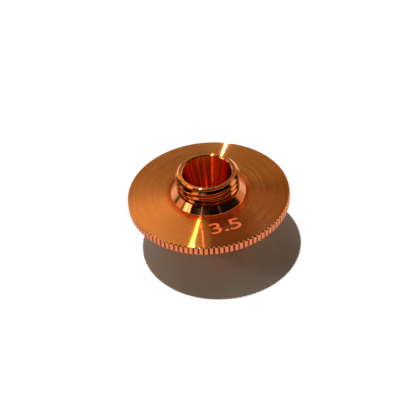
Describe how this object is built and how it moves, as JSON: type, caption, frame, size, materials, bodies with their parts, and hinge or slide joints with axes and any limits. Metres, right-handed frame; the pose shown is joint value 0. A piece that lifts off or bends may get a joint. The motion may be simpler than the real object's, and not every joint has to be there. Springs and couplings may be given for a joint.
{
  "type": "laser cutting nozzle",
  "caption": "Turned copper nozzle for a laser cutting head: knurled flange, centring cone, threaded stub, and a conical bore that ends in a round orifice.",
  "frame": {"origin": "centre of the tip's flat end face, at the exit of the orifice", "axes": "+Z along the bore axis, from the tip up through the flange to the threaded stub"},
  "size_m": [0.028, 0.028, 0.015],
  "materials": {
    "copper": "bright turned copper"
  },
  "bodies": {
    "root": {"nozzle_body": "copper"}
  },
  "joints": []
}
